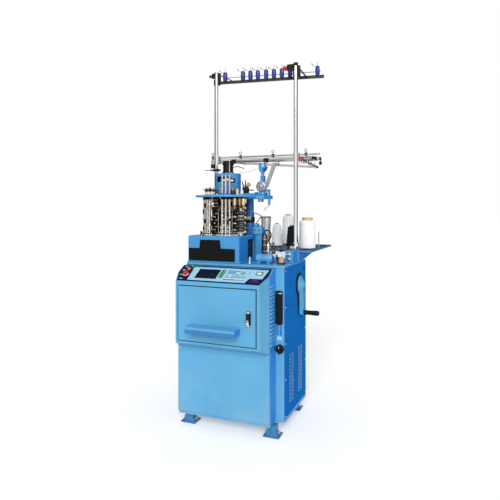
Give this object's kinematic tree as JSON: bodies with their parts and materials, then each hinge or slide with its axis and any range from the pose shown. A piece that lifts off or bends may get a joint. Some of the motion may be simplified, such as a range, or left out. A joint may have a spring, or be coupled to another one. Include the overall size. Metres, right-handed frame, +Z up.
{
  "type": "circular knitting machine",
  "caption": "Floor-standing circular sock knitting machine: cabinet with console and door, knitting head with needle cylinder, hand crank, yarn creel on poles and yarn table.",
  "frame": {"origin": "centre of the machine's outline on the floor", "axes": "+Z up, -Y towards the front with the console and door, +X towards the hand crank"},
  "size_m": [0.775, 1.154, 2.21],
  "materials": {
    "light_blue": "semi-gloss enamel",
    "fascia": "satin film",
    "steel": "polished",
    "dark_steel": "oiled",
    "aluminium": "cast",
    "black_plastic": "moulded",
    "black_paint": "satin",
    "table_paint": "satin",
    "red_plastic": "gloss",
    "orange_plastic": "gloss",
    "green_plastic": "gloss",
    "belt_rubber": "matt",
    "white_yarn": "wound",
    "black_yarn": "wound",
    "grey_yarn": "wound"
  },
  "bodies": {
    "machine": {"foot_front_left": "light_blue", "foot_front_right": "light_blue", "foot_rear_left": "light_blue", "foot_rear_right": "light_blue", "floor_pan": "light_blue", "left_side_panel": "light_blue", "right_side_panel": "light_blue", "rear_cover": "light_blue", "front_pillar": "light_blue", "lower_front_panel": "light_blue", "console_housing": "light_blue", "deck_plate": "light_blue", "console_fascia": "fascia", "slot_liner": "black_plastic", "crank_bearing": "black_paint", "drive_motor": "aluminium", "drive_belt": "belt_rubber", "control_box": "aluminium", "fabric_tube": "steel", "head_base": "light_blue", "name_panel": "black_plastic", "cam_bed": "dark_steel", "sinker_ring": "steel", "selector_block_1": "black_paint", "selector_block_2": "black_paint", "selector_block_3": "black_paint", "support_column": "light_blue", "feeder_plate": "light_blue", "dial_housing": "light_blue", "dial_motor": "black_plastic", "feeder_body": "light_blue", "pole_left": "steel", "pole_right": "steel", "pole_bracket": "light_blue", "creel_bar": "black_paint", "alarm_lamp": "black_plastic", "guide_frame": "steel", "yarn_table": "table_paint"},
    "door": {"door_panel": "light_blue", "door_shelf": "light_blue", "latch_body": "steel"},
    "latch": {"latch_lever": "black_plastic"},
    "emergency": {"emergency_stop": "red_plastic"},
    "stop": {"stop_button": "orange_plastic"},
    "start": {"start_button": "green_plastic"},
    "switch": {"main_switch_knob": "black_plastic"},
    "crank": {"crank_arm": "light_blue", "driven_pulley": "dark_steel"},
    "grip": {"crank_grip": "black_plastic"},
    "driver": {"motor_pulley": "dark_steel"},
    "cylinder": {"needle_cylinder": "steel"},
    "dial_body": {"dial": "steel"},
    "finger_1": {"yarn_finger_1": "steel"},
    "finger_2": {"yarn_finger_2": "steel"},
    "wheel": {"feeder_wheel": "aluminium"},
    "spool": {"yarn_spool_white": "white_yarn"},
    "cone_black": {"yarn_cone_black": "black_yarn"},
    "cone_large": {"yarn_cone_large": "white_yarn"},
    "cone_small": {"yarn_cone_small": "white_yarn"},
    "can": {"yarn_can_grey": "grey_yarn"}
  },
  "joints": [
    {"name": "door_swing", "type": "hinge", "parent": "machine", "child": "door", "pos_m": [-0.3375, -0.498, 0.689], "axis": [0, 0, -1], "range_deg": [0, 110]},
    {"name": "latch_lift", "type": "hinge", "parent": "door", "child": "latch", "pos_m": [0.102, -0.5126, 0.7125], "axis": [-1, 0, 0], "range_deg": [0, 50]},
    {"name": "emergency_press", "type": "slide", "parent": "machine", "child": "emergency", "axis": [0, 0.4696, -0.8829], "range_m": [0, 0.004]},
    {"name": "stop_press", "type": "slide", "parent": "machine", "child": "stop", "axis": [0, 0.4696, -0.8829], "range_m": [0, 0.003], "stiffness_N_per_m": 600, "springref_m": -0.002},
    {"name": "start_press", "type": "slide", "parent": "machine", "child": "start", "axis": [0, 0.4696, -0.8829], "range_m": [0, 0.003], "stiffness_N_per_m": 600, "springref_m": -0.002},
    {"name": "switch_turn", "type": "hinge", "parent": "machine", "child": "switch", "pos_m": [0.2255, -0.3233, 0.49], "axis": [0, 1, 0], "range_deg": [0, 90]},
    {"name": "crank_turn", "type": "hinge", "parent": "machine", "child": "crank", "pos_m": [0.1975, -0.033, 0.823], "axis": [1, 0, 0], "continuous": true},
    {"name": "grip_spin", "type": "hinge", "parent": "crank", "child": "grip", "pos_m": [0.3, -0.033, 0.648], "axis": [1, 0, 0], "continuous": true},
    {"name": "driver_turn", "type": "hinge", "parent": "machine", "child": "driver", "pos_m": [0.1375, -0.033, 0.19], "axis": [1, 0, 0], "continuous": true},
    {"name": "cylinder_turn", "type": "hinge", "parent": "machine", "child": "cylinder", "pos_m": [-0.1805, -0.153, 1.19], "axis": [0, 0, 1], "continuous": true},
    {"name": "dial_turn", "type": "hinge", "parent": "machine", "child": "dial_body", "pos_m": [-0.1805, -0.153, 1.4], "axis": [0, 0, 1], "continuous": true},
    {"name": "finger_1_swing", "type": "hinge", "parent": "machine", "child": "finger_1", "pos_m": [-0.18817, -0.24067, 1.3617], "axis": [0.9962, -0.0872, 0], "range_deg": [-10, 10]},
    {"name": "finger_2_swing", "type": "hinge", "parent": "machine", "child": "finger_2", "pos_m": [-0.11828, -0.21522, 1.3617], "axis": [0.7071, 0.7071, 0], "range_deg": [-10, 10]},
    {"name": "wheel_spin", "type": "hinge", "parent": "machine", "child": "wheel", "pos_m": [0.0375, -0.13, 1.435], "axis": [0, -1, 0], "continuous": true},
    {"name": "spool_lift", "type": "slide", "parent": "machine", "child": "spool", "axis": [0, 0, 1], "range_m": [0, 0.2]},
    {"name": "cone_black_lift", "type": "slide", "parent": "machine", "child": "cone_black", "axis": [0, 0, 1], "range_m": [0, 0.2]},
    {"name": "cone_large_lift", "type": "slide", "parent": "machine", "child": "cone_large", "axis": [0, 0, 1], "range_m": [0, 0.2]},
    {"name": "cone_small_lift", "type": "slide", "parent": "machine", "child": "cone_small", "axis": [0, 0, 1], "range_m": [0, 0.2]},
    {"name": "can_lift", "type": "slide", "parent": "machine", "child": "can", "axis": [0, 0, 1], "range_m": [0, 0.2]}
  ],
  "couplings": [
    {"joint": "driver_turn", "follows": "crank_turn", "ratio": 2},
    {"joint": "cylinder_turn", "follows": "crank_turn", "ratio": 1},
    {"joint": "dial_turn", "follows": "crank_turn", "ratio": 1}
  ]
}
